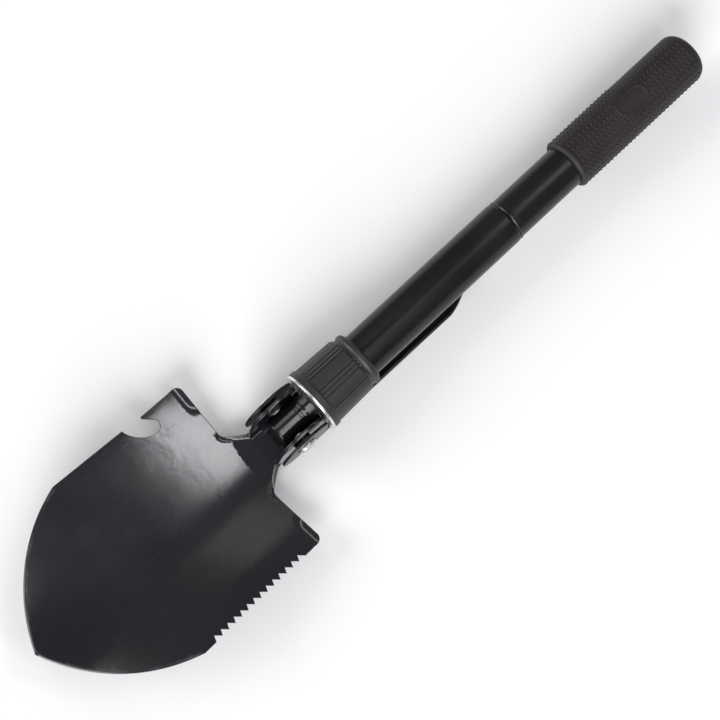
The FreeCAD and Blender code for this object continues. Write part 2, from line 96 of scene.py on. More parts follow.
def finish_piece(name, points, faces, body, slot, material, stands_for, crease, wear_and_painted_light=None,
                 facing=None):
    """Edges sharper than crease degrees are shaded as edges.  wear_and_painted_light is a value at
    each
    point for the material: worn edges on the blade, and painted highlight and painted shade along
    the collar's grooves.  facing gives the exact normal at points of a broad face, so that its
    shading stays even right up to a rounded edge; it is None at the other points.
    """
    mesh = bpy.data.meshes.new(name)
    mesh.from_pydata([mm(*p) for p in points], [], faces)
    mesh.validate()
    shell = bmesh.new()
    shell.from_mesh(mesh)
    bmesh.ops.recalc_face_normals(shell, faces=shell.faces)
    shell.to_mesh(mesh)
    shell.free()
    mesh.materials.append(material)
    for polygon in mesh.polygons:
        polygon.use_smooth = True
    mesh.set_sharp_from_angle(angle=math.radians(crease))
    if wear_and_painted_light:
        layer = mesh.attributes.new("wear_and_painted_light", "FLOAT", "POINT")
        layer.data.foreach_set("value", wear_and_painted_light)
    if facing:
        normals = []
        for polygon in mesh.polygons:
            for vertex in polygon.vertices:
                exact = facing[vertex]
                near = exact is not None and exact.dot(polygon.normal) > FACING_NEAR
                normals.append(exact if near else (0.0, 0.0, 0.0))
        mesh.normals_split_custom_set(normals)
    piece = new_object(name, mesh)
    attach(piece, body)
    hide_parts(stands_for)


# ---------------- mesh makers
CORNER_STEPS = 4


def rounded_path(profile, step=None):
    """Closed profile of (along, radius, corner radius) to points with the corners rounded.

    No two points are further apart than step, where it is given.
    """
    count = len(profile)
    path = []
    for i, (x, r, corner) in enumerate(profile):
        here = Vector((x, r))
        before = Vector(profile[i - 1][:2])
        after = Vector(profile[(i + 1) % count][:2])
        if corner <= 0:
            path.append(here)
            continue
        to_before = (before - here).normalized()
        to_after = (after - here).normalized()
        half = math.acos(max(-1.0, min(1.0, to_before.dot(to_after)))) / 2
        cut = corner / math.tan(half)
        start = here + to_before * cut
        end = here + to_after * cut
        for k in range(CORNER_STEPS + 1):
            t = k / CORNER_STEPS
            path.append(start * (1 - t) ** 2 + here * 2 * t * (1 - t) + end * t * t)
    if step:
        fine = []
        for i, a in enumerate(path):
            b = path[(i + 1) % len(path)]
            pieces = max(1, int(math.ceil((b - a).length / step)))
            fine += [a + (b - a) * (k / pieces) for k in range(pieces)]
        path = fine
    return path


def ring_shell(rings, closed=True):
    """Points and faces of a shell through rings of points; a ring of one point is a pole.

    The last ring is joined to the first where the shell is closed.
    """
    points, faces, numbers = [], [], []
    for ring in rings:
        numbers.append(range(len(points), len(points) + len(ring)))
        points += ring
    count = max(len(ring) for ring in rings)
    for a, b in zip(numbers, numbers[1:] + (numbers[:1] if closed else [])):
        if len(a) == 1 and len(b) == 1:
            continue
        for k in range(count):
            j = (k + 1) % count
            if len(a) == 1:
                faces.append((a[0], b[j], b[k]))
            elif len(b) == 1:
                faces.append((a[k], a[j], b[0]))
            else:
                faces.append((a[k], a[j], b[j], b[k]))
    return points, faces


def lathe(profile, segments, shape=None, step=None, axis="x"):
    """Turned solid from a closed profile; shape(along, radius, angle) may change a radius."""
    rings = []
    for spot in rounded_path(profile, step):
        if spot.y < 1e-6:
            rings.append([(spot.x, 0.0, 0.0)])
            continue
        ring = []
        for k in range(segments):
            angle = 2 * math.pi * k / segments
            radius = shape(spot.x, spot.y, angle) if shape else spot.y
            ring.append((spot.x, radius * math.sin(angle), radius * math.cos(angle)))
        rings.append(ring)
    points, faces = ring_shell(rings)
    if axis == "y":
        points = [(z, x, y) for x, y, z in points]
    return points, faces


def add(target, extra):
    """Appends a second shell: its points, its faces and any lists of values at its points."""
    base = len(target[0])
    target[1].extend(tuple(v + base for v in face) for face in extra[1])
    for own, more in zip((target[0], *target[2:]), (extra[0], *extra[2:])):
        own.extend(more)


def inside(loop, x, y):
    """Whether a point is within a closed loop."""
    hit = False
    for (ax, ay), (bx, by) in zip(loop, loop[1:] + loop[:1]):
        if (ay > y) != (by > y) and x < (bx - ax) * (y - ay) / (by - ay) + ax:
            hit = not hit
    return hit


def edge_distance(loop, x, y):
    """Distance from a point to the nearest side of a closed loop."""
    best = math.inf
    for (ax, ay), (bx, by) in zip(loop, loop[1:] + loop[:1]):
        dx, dy = bx - ax, by - ay
        t = max(0.0, min(1.0, ((x - ax) * dx + (y - ay) * dy) / (dx * dx + dy * dy + 1e-12)))
        best = min(best, (ax + t * dx - x) ** 2 + (ay + t * dy - y) ** 2)
    return math.sqrt(best)


# a loop's sharp corners move in by no more than the width over this
INSET_STRETCH = 0.45


def inset(loop, widths):
    """The loop moved in by a width at each point; loops run with their material on the left."""
    moved = []
    count = len(loop)
    for i, (x, y) in enumerate(loop):
        ax, ay = loop[i - 1]
        bx, by = loop[(i + 1) % count]
        first = Vector((x - ax, y - ay)).normalized()
        second = Vector((bx - x, by - y)).normalized()
        normal = Vector((-first.y - second.y, first.x + second.x))
        if normal.length < 1e-6:
            normal = Vector((-first.y, first.x))
        normal.normalize()
        stretch = max(INSET_STRETCH, normal.dot(Vector((-first.y, first.x))))
        moved.append((x + normal.x * widths[i] / stretch, y + normal.y * widths[i] / stretch))
    return moved


def sheet_normal(place, u, v, step=0.25):
    """Unit normal of a sheet's upper face, over a step to each side."""
    here = Vector(place(u, v, 0.0))
    along = Vector(place(u + step, v, 0.0)) - Vector(place(u - step, v, 0.0))
    across = Vector(place(u, v + step, 0.0)) - Vector(place(u, v - step, 0.0))
    normal = along.cross(across).normalized()
    return normal if normal.dot(here - Vector(place(u, v, 1.0))) > 0 else -normal


EDGE_RINGS = 3
GROUND_SLOPE = 0.62
GROUND_SHARE = 0.7
SEED_MARGIN = 0.75


def sheet_shell(loops, place, thick, grid, edge, ground=None, fine=None):
    """Closed sheet of metal from plan loops (outer anticlockwise, holes clockwise).

    place(u, v, depth) gives the point at a depth below the upper face.  edge is the radius of the
    rounded rims.  ground[i] is the width of the ground bevel at each point of the outer loop; its
    depth is GROUND_SLOPE times that, up to GROUND_SHARE of the thickness.  The broad faces have a
    point every grid millimetres, or for fine = (u, grid) a closer one beyond u.  Returns points,
    faces, and at each point its wear and, on the two broad faces, its exact normal.
    """
    points, faces, wear_and_painted_light, facing = [], [], [], []
    top_loops, low_loops = [], []
    for number, loop in enumerate(loops):
        bevel = ground if ground and number == 0 else [0.0] * len(loop)
        levels = []
        arcs = []
        for part in range(EDGE_RINGS):
            turn = math.radians(90 * part / (EDGE_RINGS - 1))
            arcs.append((edge * (1 - math.sin(turn)), edge * (1 - math.cos(turn))))
        for part, (round_in, round_down) in enumerate(arcs):
            down = part / (EDGE_RINGS - 1)
            widths, depths = [], []
            for b in bevel:
                wide = max(edge, b)
                share = min(1.0, b / edge)
                widths.append(lerp(round_in, wide * (1 - down), share))
                fall = min(GROUND_SLOPE * wide, GROUND_SHARE * thick)
                depths.append(lerp(round_down, fall * down, share))
            levels.append((widths, depths))
        for round_in, round_down in reversed(arcs):
            levels.append(([round_in] * len(loop), [thick - round_down] * len(loop)))
        rings = []
        for level, (widths, depths) in enumerate(levels):
            plan = inset(loop, widths)
            ring = []
            side = {0: 1, len(levels) - 1: -1}.get(level)
            for (u, v), depth in zip(plan, depths):
                ring.append(len(points))
                points.append(place(u, v, depth))
                wear_and_painted_light.append(0.0)
                facing.append(sheet_normal(place, u, v) * side if side else None)
            rings.append((ring, plan))
        for ring, _ in rings[:EDGE_RINGS]:
            for vertex, b in zip(ring, bevel):
                wear_and_painted_light[vertex] = 1.0 if b > edge else 0.0
        for (a, _), (b, _) in zip(rings, rings[1:]):
            for k in range(len(loop)):
                j = (k + 1) % len(loop)
                faces.append((a[k], b[k], b[j], a[j]))
        top_loops.append(rings[0])
        low_loops.append(rings[-1])
    us = [u for u, v in loops[0]]
    vs = [v for u, v in loops[0]]
    seeds = []
    zones = [(min(us), max(us), grid)]
    if fine:
        zones = [(min(us), fine[0], grid), (fine[0], max(us), fine[1])]
    for first, last, spacing in zones:
        columns = int((last - first) / spacing)
        rows = int((max(vs) - min(vs)) / spacing) + 1
        for i in range(columns + 1):
            for j in range(rows + 1):
                u = first + (i + 0.25 + 0.5 * (j % 2)) * spacing
                v = min(vs) + (j + 0.5) * spacing
                if not inside(loops[0], u, v) or any(inside(hole, u, v) for hole in loops[1:]):
                    continue
                if min(edge_distance(loop, u, v) for loop in loops) > SEED_MARGIN * spacing:
                    seeds.append((u, v))
    for side, chosen in ((0, top_loops), (1, low_loops)):
        plan, ids, edges = [], [], []
        for ring, spots in chosen:
            base = len(plan)
            plan += [Vector(s) for s in spots]
            ids += ring
            edges += [(base + k, base + (k + 1) % len(ring)) for k in range(len(ring))]
        for u, v in seeds:
            plan.append(Vector((u, v)))
            ids.append(len(points))
            points.append(place(u, v, side * thick))
            wear_and_painted_light.append(0.0)
            facing.append(sheet_normal(place, u, v) * (1 - 2 * side))
        found = delaunay_2d_cdt(plan, edges, [], 0, 1e-7)
        borders = [spots for ring, spots in chosen]
        for triangle in found[2]:
            if not all(found[3][v] for v in triangle):
                raise ValueError("crossing near %s" % [tuple(found[0][v]) for v in triangle])
            origins = [found[3][v][0] for v in triangle]
            middle = sum((plan[o] for o in origins), Vector((0, 0))) / 3
            if not inside(borders[0], middle.x, middle.y):
                continue
            if any(inside(hole, middle.x, middle.y) for hole in borders[1:]):
                continue
            face = tuple(ids[o] for o in origins)
            faces.append(face if side == 0 else face[::-1])
    return points, faces, wear_and_painted_light, facing


# ---------------- materials
def new_material(name, base, roughness, metallic=0.0):
    """Material with its nodes, links and main shader."""
    material = bpy.data.materials.new(name)
    material.use_nodes = True
    nodes = material.node_tree.nodes
    shader = nodes["Principled BSDF"]
    shader.inputs["Base Color"].default_value = (*base, 1.0)
    shader.inputs["Roughness"].default_value = roughness
    shader.inputs["Metallic"].default_value = metallic
    return material, nodes, material.node_tree.links, shader


def object_place(nodes, links, stretch=(1.0, 1.0, 1.0), turn=0.0):
    """Object coordinates in metres, turned about Z and stretched."""
    source = nodes.new("ShaderNodeTexCoord")
    mapping = nodes.new("ShaderNodeMapping")
    mapping.inputs["Rotation"].default_value = (0.0, 0.0, turn)
    mapping.inputs["Scale"].default_value = stretch
    links.new(source.outputs["Object"], mapping.inputs["Vector"])
    return mapping.outputs["Vector"]


def noise(nodes, links, place, scale, detail, rough):
    node = nodes.new("ShaderNodeTexNoise")
    node.inputs["Scale"].default_value = scale
    node.inputs["Detail"].default_value = detail
    node.inputs["Roughness"].default_value = rough
    links.new(place, node.inputs["Vector"])
    return node.outputs["Fac"]


def remap(nodes, links, value, low, high, to_low, to_high):
    node = nodes.new("ShaderNodeMapRange")
    node.inputs["From Min"].default_value = low
    node.inputs["From Max"].default_value = high
    node.inputs["To Min"].default_value = to_low
    node.inputs["To Max"].default_value = to_high
    links.new(value, node.inputs["Value"])
    return node.outputs["Result"]


def blend_colour(nodes, links, factor, first, second):
    node = nodes.new("ShaderNodeMix")
    node.data_type = "RGBA"
    links.new(factor, node.inputs["Factor"])
    for socket, value in ((node.inputs[6], first), (node.inputs[7], second)):
        if isinstance(value, tuple):
            socket.default_value = (*value, 1.0)
        else:
            links.new(value, socket)
    return node.outputs[2]


def maths(nodes, links, kind, first, second):
    node = nodes.new("ShaderNodeMath")
    node.operation = kind
    for socket, value in zip(node.inputs, (first, second)):
        if isinstance(value, (int, float)):
            socket.default_value = value
        else:
            links.new(value, socket)
    return node.outputs[0]


def bump(nodes, links, shader, heights):
    """Chains bumps: heights is a list of (height socket, distance in metres, strength)."""
    last = None
    for height, distance, strength in heights:
        node = nodes.new("ShaderNodeBump")
        node.inputs["Distance"].default_value = distance
        node.inputs["Strength"].default_value = strength
        links.new(height, node.inputs["Height"])
        if last:
            links.new(last, node.inputs["Normal"])
        last = node.outputs["Normal"]
    links.new(last, shader.inputs["Normal"])


def scratches(nodes, links, turn, density):
    """Short thin straight marks, all leaning one way: narrow peaks of a stretched noise."""
    place = object_place(nodes, links, (90.0, 2600.0, 300.0), turn)
    value = noise(nodes, links, place, 1.0, 1.0, 0.4)
    return remap(nodes, links, value, density, density + 0.05, 0.0, 1.0)


def wear_and_light_value(nodes):
    """The value that finish_piece keeps at each point: worn edges on a worn piece, painted
    highlight and painted shade on the collar's grooves.
    """
    layer = nodes.new("ShaderNodeAttribute")
    layer.attribute_name = "wear_and_painted_light"
    return layer.outputs["Fac"]


MARK_COLOUR = (0.07, 0.07, 0.075)
BARE_EDGE = (0.085, 0.085, 0.09)
# painted highlight along the edges of the collar's grooves; GROOVE_SHADE is painted shade in their
# floors
PAINTED_RIDGE_HIGHLIGHT = (0.12, 0.115, 0.12)
GROOVE_SHADE = (0.004, 0.004, 0.004)


def painted_steel(name, base, second, roughness, peel, scuffs, worn=False, shine=0.5):
    """Black paint on pressed steel: cloudy colour, orange peel, fine marks and worn edges."""
    material, nodes, links, shader = new_material(name, base, roughness)
    shader.inputs["Specular IOR Level"].default_value = shine
    place = object_place(nodes, links)
    cloud = noise(nodes, links, place, 24.0, 3.0, 0.55)
    fine = noise(nodes, links, place, 420.0, 2.0, 0.5)
    mix = remap(nodes, links, cloud, 0.35, 0.65, 0.0, 1.0)
    colour = blend_colour(nodes, links, mix, base, second)
    rough = remap(nodes, links, cloud, 0.3, 0.7, roughness * 0.82, roughness * 1.2)
    left_marks = scratches(nodes, links, 0.5, 0.74)
    right_marks = scratches(nodes, links, -0.9, 0.76)
    marks = maths(nodes, links, "MAXIMUM", left_marks, right_marks)
    marks = maths(nodes, links, "MULTIPLY", marks, scuffs)
    rough = maths(nodes, links, "ADD", rough, maths(nodes, links, "MULTIPLY", marks, 0.25))
    colour = blend_colour(nodes, links, marks, colour, MARK_COLOUR)
    if worn:
        grain = noise(nodes, links, place, 90.0, 4.0, 0.6)
        edge = maths(nodes, links, "MULTIPLY", wear_and_light_value(nodes), grain)
        edge = remap(nodes, links, edge, 0.34, 0.70, 0.0, 0.6)
        colour = blend_colour(nodes, links, edge, colour, BARE_EDGE)
        rough = maths(nodes, links, "ADD", rough, maths(nodes, links, "MULTIPLY", edge, 0.2))
    links.new(colour, shader.inputs["Base Color"])
    links.new(rough, shader.inputs["Roughness"])
    bump(nodes, links, shader, [(fine, 0.0002, peel), (cloud, 0.0012, 0.08), (marks, 0.00003, 0.3)])
    return material


def plated_steel(name, base, roughness, stretch, dull, marks=0.35):
    """Bright plating: fine turning marks, cloudy shine and grey spots."""
    material, nodes, links, shader = new_material(name, base, roughness, 1.0)
    place = object_place(nodes, links)
    brushed = noise(nodes, links, object_place(nodes, links, stretch), 260.0, 3.0, 0.6)
    cloud = noise(nodes, links, place, 160.0, 3.0, 0.6)
    rough = remap(nodes, links, cloud, 0.3, 0.7, roughness * 0.75, roughness * 1.35)
    spots = remap(nodes, links, noise(nodes, links, place, 700.0, 3.0, 0.65), 0.56, 0.7, 0.0, dull)
    colour = blend_colour(nodes, links, spots, base, tuple(0.35 * c for c in base))
    links.new(colour, shader.inputs["Base Color"])
    links.new(rough, shader.inputs["Roughness"])
    bump(nodes, links, shader, [(brushed, 0.00005, marks), (cloud, 0.0001, 0.5 * marks)])
    return material


def moulded(name, base, second, roughness, grain_scale, grain, mottled, shine=0.5, painted_groove_light=False):
    """Moulded plastic or rubber: fine grain and mottling; where asked, a painted highlight on the
    grooves' edges and painted shade in the grooves.
    """
    material, nodes, links, shader = new_material(name, base, roughness)
    shader.inputs["Specular IOR Level"].default_value = shine
    place = object_place(nodes, links)
    cloud = noise(nodes, links, place, 55.0, 4.0, 0.6)
    texture = noise(nodes, links, place, grain_scale, 2.0, 0.6)
    mix = remap(nodes, links, cloud, 0.36, 0.68, 0.0, 1.0)
    colour = blend_colour(nodes, links, mix, base, second)
    pale = remap(nodes, links, texture, 0.55, 0.8, 0.0, mottled)
    colour = blend_colour(nodes, links, pale, colour, tuple(2.2 * c for c in second))
    rough = remap(nodes, links, cloud, 0.3, 0.7, roughness * 0.88, roughness * 1.12)
    # painted highlight along the edges of the grooves and painted shade in their floors, read from
    # the wear attribute
    if painted_groove_light:
        wear_and_painted_light = wear_and_light_value(nodes)
        ridge_highlight = remap(nodes, links, wear_and_painted_light, 0.1, 0.9, 0.0, 0.75)
        groove = remap(nodes, links, wear_and_painted_light, -0.1, -0.9, 0.0, 0.8)
        colour = blend_colour(nodes, links, ridge_highlight, colour, PAINTED_RIDGE_HIGHLIGHT)
        colour = blend_colour(nodes, links, groove, colour, GROOVE_SHADE)
    links.new(colour, shader.inputs["Base Color"])
    links.new(rough, shader.inputs["Roughness"])
    bump(nodes, links, shader, [(texture, 0.00025, grain), (cloud, 0.0006, 0.15)])
    return material


# turning marks run round the rivet (Y) or round the handle (X)
ROUND_Y = (1.0, 6.0, 1.0)
ROUND_X = (8.0, 1.0, 1.0)

blade_paint = painted_steel(
    "blade_enamel", (0.0100, 0.0095, 0.0125), (0.0140, 0.0133, 0.0170),
    roughness=0.10, peel=0.04, scuffs=0.18, worn=True)
pick_paint = painted_steel(
    "pick_enamel", (0.006, 0.006, 0.007), (0.009, 0.009, 0.010),
    roughness=0.34, peel=0.14, scuffs=0.2, worn=True, shine=0.3)
knuckle_paint = painted_steel(
    "knuckle_enamel", (0.005, 0.005, 0.006), (0.008, 0.008, 0.009),
    roughness=0.17, peel=0.06, scuffs=0.2)
tube_paint = painted_steel(
    "tube_enamel", (0.0050, 0.0048, 0.0060), (0.0078, 0.0075, 0.0090),
    roughness=0.25, peel=0.08, scuffs=0.2, shine=0.3)
rivet_zinc = plated_steel("rivet_zinc", (0.62, 0.62, 0.61), 0.34, ROUND_Y, dull=0.6)
ring_plate = plated_steel(
    "ring_plate", (0.80, 0.79, 0.77), 0.30, ROUND_X, dull=0.12, marks=0.08)
joint_steel = plated_steel(
    "joint_steel", (0.060, 0.060, 0.064), 0.26, ROUND_X, dull=0.5, marks=0.2)
oiled_steel = plated_steel(
    "oiled_steel", (0.055, 0.054, 0.052), 0.30, ROUND_Y, dull=0.5, marks=0.2)
inner_steel = plated_steel("inner_steel", (0.36, 0.35, 0.34), 0.38, (6.0, 1.0, 1.0), dull=0.5)
# the collar's plastic takes painted highlight on its groove edges and painted shade in its grooves
collar_plastic = moulded(
    "collar_plastic", (0.014, 0.0135, 0.0135), (0.020, 0.0185, 0.0185),
    roughness=0.44, grain_scale=900.0, grain=0.25, mottled=0.12, painted_groove_light=True)
plug_plastic = moulded(
    "plug_plastic", (0.02, 0.02, 0.02), (0.026, 0.026, 0.026),
    roughness=0.5, grain_scale=900.0, grain=0.3, mottled=0.1)
grip_rubber = moulded(
    "grip_rubber", (0.0125, 0.0093, 0.0105), (0.0190, 0.0142, 0.0158),
    roughness=0.58, grain_scale=700.0, grain=0.5, mottled=0.2, shine=0.35)

# ---------------- blade
BLADE_THICK = 1.8
PAN_RADIUS = 175.0
PAN_FOOT_X = -16.5
PAN_FOOT_Z = -15.0
TIP_X = span_x("blade")[0]
PAN_SLOPE = 27.0 / (PAN_FOOT_X - TIP_X)
WIDE_X = -95.0
WIDE_HALF = widest("blade")
GRIND_WIDTH = 1.15
FLOOR_Z = -13.4
CHANNEL_REAR = 12.0
WALL_TOP = -10.6
EAR_INNER = 8.4
EAR_OUTER = 10.0
EAR_RADIUS = 14.0
EAR_FLAT = 13.4
EAR_FOLD = 170
EAR_FOOT_Z = FLOOR_Z - 1.4
SHOULDER_X = -24.8
SHOULDER_OUT_X = -23.2
SHOULDER_HALF = 48.2
NECK_X = -15.3
NECK_HALF = 10.7
NECK_ROOT_HALF = 17.3
SHOULDER_ROUND = 3.2
NECK_ROUND = 2.4
FOLD_X = -27.0
WALL_RISE = 2.8
CORNER_RISE = 0.8
CORNER_REACH = 5.0
SAW_PITCH = 3.9
SAW_DEPTH = 2.8
SAW_FIRST = -87.3
SAW_TEETH = 13
SAW_LEAN = 0.3 * SAW_PITCH
SAW_INSET = 0.15
RIVET_HOLE = 2.66


def arc_points(start, middle, end, count):
    """Points on the circle through three points, without the last."""
    ax, ay = start
    bx, by = middle
    cx, cy = end
    d = 2 * (ax * (by - cy) + bx * (cy - ay) + cx * (ay - by))
    a2, b2, c2 = ax * ax + ay * ay, bx * bx + by * by, cx * cx + cy * cy
    ux = (a2 * (by - cy) + b2 * (cy - ay) + c2 * (ay - by)) / d
    uy = (a2 * (cx - bx) + b2 * (ax - cx) + c2 * (bx - ax)) / d
    radius = math.hypot(ax - ux, ay - uy)
    first = math.atan2(ay - uy, ax - ux)
    last = math.atan2(cy - uy, cx - ux)
    sweep = (last - first + math.pi) % (2 * math.pi) - math.pi
    return [(ux + radius * math.cos(first + sweep * k / count),
             uy + radius * math.sin(first + sweep * k / count)) for k in range(count)]


def line_points(start, end, spacing=1.4):
    """Points along a line, without the last."""
    count = max(1, int(math.ceil(math.dist(start, end) / spacing)))
    return [(lerp(start[0], end[0], k / count), lerp(start[1], end[1], k / count))
            for k in range(count)]


def mirror(point):
    """The same point on the right-hand side."""
    return (point[0], -point[1])


def side_half(x):
    """Half width of the blade's straight sides at x."""
    return lerp(WIDE_HALF, SHOULDER_HALF, (x - WIDE_X) / (SHOULDER_OUT_X - WIDE_X))


def blade_plan():
    """Outer loop of the pressed sheet, anticlockwise from above, and its ground-edge widths."""
    loop, ground = [], []

    def put(spots, width=0.0):
        loop.extend(spots)
        ground.extend([width] * len(spots))

    def run(*spots):
        for a, b in zip(spots, spots[1:]):
            put(line_points(a, b))

    # left-hand points, from the tip back to the channel's rear end
    tip = (TIP_X, 0.0)
    front = (-124.5, 33.7)
    wide = (WIDE_X, WIDE_HALF)
    cut = 0.3 * SHOULDER_ROUND
    side_end = (SHOULDER_OUT_X - SHOULDER_ROUND, SHOULDER_HALF)
    corner = (SHOULDER_OUT_X - cut, SHOULDER_HALF - cut)
    back = (SHOULDER_OUT_X, SHOULDER_HALF - SHOULDER_ROUND)
    root = Vector((SHOULDER_X, NECK_ROOT_HALF))
    edge_way = Vector((SHOULDER_OUT_X - SHOULDER_X, SHOULDER_HALF - NECK_ROOT_HALF)).normalized()
    neck_way = Vector((NECK_X - SHOULDER_X, NECK_HALF - NECK_ROOT_HALF)).normalized()
    outer_bend = root + edge_way * NECK_ROUND
    inner_bend = root + neck_way * NECK_ROUND
    mid_bend = (outer_bend + inner_bend + 2 * root) / 4
    neck = (NECK_X, NECK_HALF)
    foot = (NECK_X + 3.0, EAR_OUTER - 0.05)
    heel = (CHANNEL_REAR, EAR_OUTER - 0.05)
    # the right-hand front, the plain edge, the saw and the shoulder
    put(arc_points(tip, mirror(front), mirror(wide), 48), GRIND_WIDTH)
    saw = [(SAW_FIRST - SAW_LEAN, -side_half(SAW_FIRST - SAW_LEAN))]
    for tooth in range(SAW_TEETH + 1):
        x = SAW_FIRST + tooth * SAW_PITCH
        crest = x + SAW_PITCH - SAW_LEAN
        short = SAW_INSET if tooth < SAW_TEETH else 0.0
        saw += [(x, -side_half(x) + SAW_DEPTH), (crest, -side_half(crest) + short)]
    run(mirror(wide), *saw, mirror(side_end))
    put(arc_points(mirror(side_end), mirror(corner), mirror(back), 6))
    # the neck's right side, the channel's floor and the neck's left side
    run(mirror(back), mirror(outer_bend))
    put(arc_points(mirror(outer_bend), mirror(mid_bend), mirror(inner_bend), 5))
    run(mirror(inner_bend), mirror(neck), mirror(foot), mirror(heel), heel, foot, neck, inner_bend)
    put(arc_points(inner_bend, mid_bend, outer_bend, 5))
    run(outer_bend, back)
    put(arc_points(back, corner, side_end, 6))
    # bottle-opener notch, from its hook round to where it leaves the side
    hook = (-45.6, 48.0)
    hook_tip = (-45.9, 47.2)
    turn = (-41.2, 42.8)
    throat = (-41.6, 39.6)
    low = (-45.8, 38.2)
    belly = (-52.6, 42.0)
    out = (-56.1, 48.6)
    run(side_end, hook)
    put([hook])
    put(line_points(hook_tip, turn, 0.9))
    put(arc_points(turn, throat, low, 9))
    put(arc_points(low, belly, out, 12))
    run(out, wide)
    put(arc_points(wide, front, tip, 48), GRIND_WIDTH)
    return loop, ground


def neck_half(x):
    """Half width between the neck's side walls, spreading into the pan ahead of the neck."""
    if x > NECK_X:
        return EAR_OUTER
    return NECK_HALF + (NECK_X - x) * (NECK_ROOT_HALF - NECK_HALF) / (NECK_X - SHOULDER_X)


def blade_top(x, y):
    """Height of the blade's hollow face."""
    pan = PAN_FOOT_Z + PAN_SLOPE * (PAN_FOOT_X - x)
    pan += PAN_RADIUS - math.sqrt(PAN_RADIUS ** 2 - y * y)
    z = lerp(pan, max(pan, FLOOR_Z), ease(-30.0, -22.0, x))
    # side walls of the neck, dying away as folds in the pan
    half = neck_half(x)
    side = abs(y)
    if side < half + 4.0:
        fold = ease(half - 3.0, half - 0.3, side)
        steep = max(0.0, min(1.0, (side - half + 3.0) / 2.7)) ** 2
        wall = lerp(fold, steep, ease(FOLD_X, -22.0, x))
        wall *= 1 - ease(half, half + 4.0, side) * ease(-18.0, -26.0, x)
        z += WALL_RISE * ease(FOLD_X, -16.5, x) * wall
    # the shoulders' corners are turned up a little
    outward = (side - NECK_ROOT_HALF) / (SHOULDER_HALF - NECK_ROOT_HALF)
    edge_x = lerp(SHOULDER_X, SHOULDER_OUT_X, outward)
    reach = max(0.0, (x - edge_x + CORNER_REACH) / CORNER_REACH)
    return z + CORNER_RISE * reach ** 2 * ease(NECK_ROOT_HALF + 13.0, SHOULDER_HALF - 9.0, side)


def blade_place(x, y, depth):
    """Point of the blade at a depth below its hollow face, measured square to the sheet."""
    step = 0.35
    slope_x = (blade_top(x + step, y) - blade_top(x - step, y)) / (2 * step)
    slope_y = (blade_top(x, y + step) - blade_top(x, y - step)) / (2 * step)
    lean = math.sqrt(1 + min(0.6, slope_x * slope_x + slope_y * slope_y))
    return (x, y, blade_top(x, y) - depth * lean)


def hinge_disc(first, last, flats):
    """Arc of a hinge disc from one angle to another, cut back by its flats, in degrees."""
    spots = []
    count = 60
    for k in range(count + 1):
        angle = math.radians(lerp(first, last, k / count))
        reach = EAR_RADIUS
        for normal in flats:
            away = math.cos(angle - math.radians(normal))
            if away > 0:
                reach = min(reach, EAR_FLAT / away)
        spots.append((reach * math.cos(angle), reach * math.sin(angle)))
    return spots


def add_plates(target, plan, inner, outer, grid, edge):
    """Adds an upright plate on each side of the hinge, with a hole for the rivet."""
    count = 28
    turns = [2 * math.pi * k / count for k in range(count)]
    hole = [(RIVET_HOLE * math.cos(turn), -RIVET_HOLE * math.sin(turn)) for turn in turns]
    for first in (inner, -outer):
        def upright(u, v, depth):
            return (u, first + depth, v)
        add(target, sheet_shell([plan, hole], upright, outer - inner, grid, edge))


loop, ground = blade_plan()
blade_mesh = sheet_shell([loop], blade_place, BLADE_THICK, 2.1, 0.32, ground, (-34.0, 1.1))
half_flat = math.degrees(math.acos(EAR_FLAT / EAR_RADIUS))
ear_rim = hinge_disc(-half_flat, EAR_FOLD - half_flat, (0, 90, EAR_FOLD))
last_flat = math.radians(180 - EAR_FOLD)
wall_x = -(EAR_FLAT - math.sin(last_flat) * WALL_TOP) / math.cos(last_flat)
ear_plan = ear_rim + [(wall_x, WALL_TOP), (wall_x, EAR_FOOT_Z), (CHANNEL_REAR, EAR_FOOT_Z)]
add_plates(blade_mesh, ear_plan, EAR_INNER, EAR_OUTER, 2.2, 0.3)
finish_piece("blade_pressing", *blade_mesh[:2], "blade", "blade_paint", blade_paint, "blade",
             50.0, *blade_mesh[2:])

# ---------------- pick
PICK_OUTER = 13.0
PICK_INNER = 11.6
PICK_LOW = -18.6
PICK_TOP = -12.0
PICK_WEB = 1.6
WEB_X = 20.0
TAPER_X = 93.0
PICK_FLARE = 0.3
PICK_SWAY = 0.45
PICK_NOSE = 1.2
PICK_LIP = 0.25
PICK_TIP_X = span_x("pick")[1]
SLOPE_X = TAPER_X - 25.0
POINT_HEIGHT = 2.1
FLANGE_END = 268
FLANGE_INSET = 0.02


def pick_half(x):
    """Half width of the pick's channel at x: slightly flared, then an ogive to its point."""
    flare = (x - WEB_X - 2.0) / (TAPER_X - WEB_X - 2.0)
    wide = PICK_OUTER + PICK_FLARE * max(0.0, min(1.0, flare))
    t = max(0.0, (x - TAPER_X) / (PICK_TIP_X - TAPER_X))
    return max(PICK_NOSE, wide * (1 - 0.30 * t - 0.62 * t * t))


def pick_top(x):
    """Height of the channel's walls, falling towards the point."""
    fall = (PICK_TOP - PICK_LOW - POINT_HEIGHT) / (PICK_TIP_X + 1 - SLOPE_X)
    return PICK_TOP - max(0.0, x - SLOPE_X) * fall


